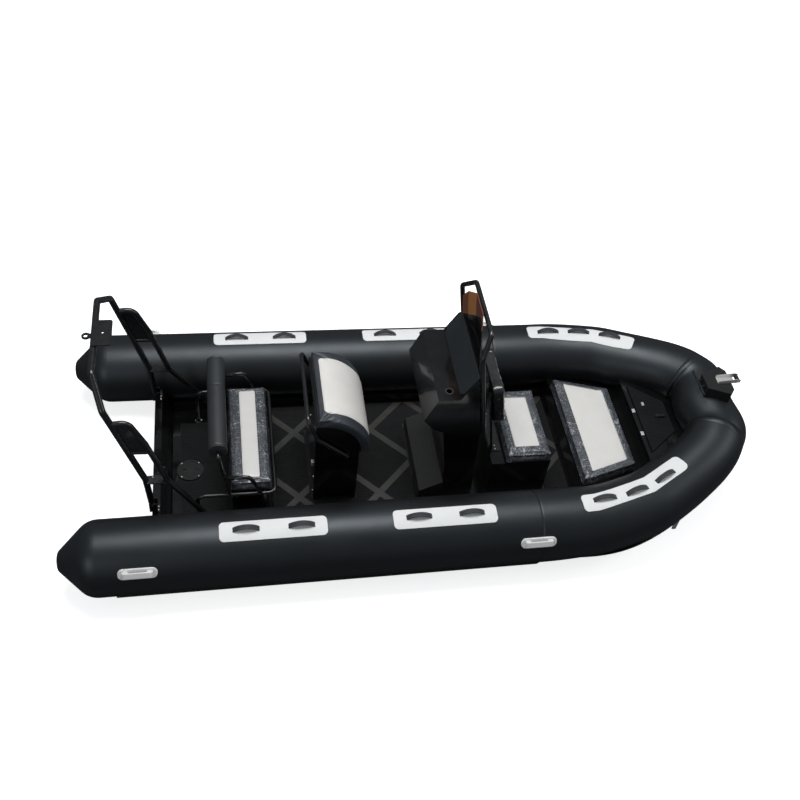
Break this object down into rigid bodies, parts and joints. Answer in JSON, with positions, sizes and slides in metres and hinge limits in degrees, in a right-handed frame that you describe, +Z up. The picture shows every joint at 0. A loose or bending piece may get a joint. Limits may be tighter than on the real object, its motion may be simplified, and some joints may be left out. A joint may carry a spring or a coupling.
{
  "type": "inflatable rib boat",
  "caption": "Rigid inflatable boat with a black collar, V hull, roll arch, stern bench, helm seat, console, front seat, bow locker and bow roller.",
  "frame": {"origin": "On the centreline at the waterline, under the tips of the stern cones", "axes": "+X to the bow, +Y to port, +Z up"},
  "size_m": [4.3693, 1.9754, 1.687],
  "materials": {
    "black_gelcoat": "gloss",
    "black_plastic": "satin",
    "black_pvc": "matte",
    "black_rubber": "satin",
    "black_tube": "gloss",
    "bolster": "matte",
    "cushion": "satin",
    "dash_panel": "matte",
    "deck_mat": "matte",
    "masking_paper": "matte",
    "stainless": "polished",
    "webbing": "matte",
    "white_pad": "matte",
    "white_plastic": "satin"
  },
  "bodies": {
    "boat": {"anchor_deck": "black_gelcoat", "arch_feet": "black_tube", "arch_gusset_port": "black_tube", "arch_gusset_starboard": "black_tube", "arch_light_plate": "black_tube", "arch_side_port": "black_tube", "arch_side_starboard": "black_tube", "arch_top_bar": "black_tube", "arch_tow_eye": "black_tube", "bench_board": "black_gelcoat", "bench_bolster": "bolster", "bench_cushion": "cushion", "bench_frame": "black_tube", "bench_locker": "black_gelcoat", "bow_step": "black_rubber", "cockpit_liner": "black_gelcoat", "collar_bow_port": "black_pvc", "collar_bow_starboard": "black_pvc", "collar_nose": "black_pvc", "collar_side_port": "black_pvc", "collar_side_starboard": "black_pvc", "console_body": "black_gelcoat", "console_footrest": "black_gelcoat", "console_instrument_panel": "dash_panel", "console_rail": "black_tube", "console_windscreen": "masking_paper", "front_backrest_bracket": "black_tube", "front_backrest_pad": "cushion", "front_seat_base": "black_gelcoat", "grip_pads_port": "white_pad", "grip_pads_starboard": "white_pad", "helm_seat_pod": "black_gelcoat", "helm_seat_rail": "black_tube", "hull": "black_gelcoat", "hull_eyes": "stainless", "inspection_hatch": "black_plastic", "lifting_handles_port": "white_plastic", "lifting_handles_starboard": "white_plastic", "mooring_bar": "black_tube", "roller_bracket": "stainless", "rub_strake_port": "black_rubber", "rub_strake_starboard": "black_rubber", "sole_mats": "deck_mat", "strap_handles_port": "webbing", "strap_handles_starboard": "webbing", "transom": "black_gelcoat"},
    "helm_seat": {"helm_seat_lid": "black_gelcoat", "helm_seat_cushion": "cushion"},
    "front_seat": {"front_seat_lid": "black_gelcoat", "front_seat_cushion": "cushion"},
    "bow_locker_cover": {"bow_locker_lid": "black_gelcoat", "bow_cushion": "cushion"},
    "anchor_hatch_cover": {"anchor_hatch": "deck_mat"},
    "roller": {"bow_roller": "black_rubber"}
  },
  "joints": [
    {"name": "helm_seat_tilt", "type": "hinge", "parent": "boat", "child": "helm_seat", "pos_m": [1.79, 0, 0.518], "axis": [0, 1, 0], "range_deg": [0, 70]},
    {"name": "front_seat_tilt", "type": "hinge", "parent": "boat", "child": "front_seat", "pos_m": [3.056, 0, 0.3165], "axis": [0, 1, 0], "range_deg": [0, 80]},
    {"name": "bow_locker_tilt", "type": "hinge", "parent": "boat", "child": "bow_locker_cover", "pos_m": [3.636, 0, 0.2325], "axis": [0, 1, 0], "range_deg": [0, 50]},
    {"name": "anchor_hatch_tilt", "type": "hinge", "parent": "boat", "child": "anchor_hatch_cover", "pos_m": [3.945, 0, 0.359], "axis": [0, 1, 0], "range_deg": [0, 85]},
    {"name": "bow_roller_spin", "type": "hinge", "parent": "boat", "child": "roller", "pos_m": [4.31, 0, 0.723], "axis": [0, 1, 0], "continuous": true}
  ]
}
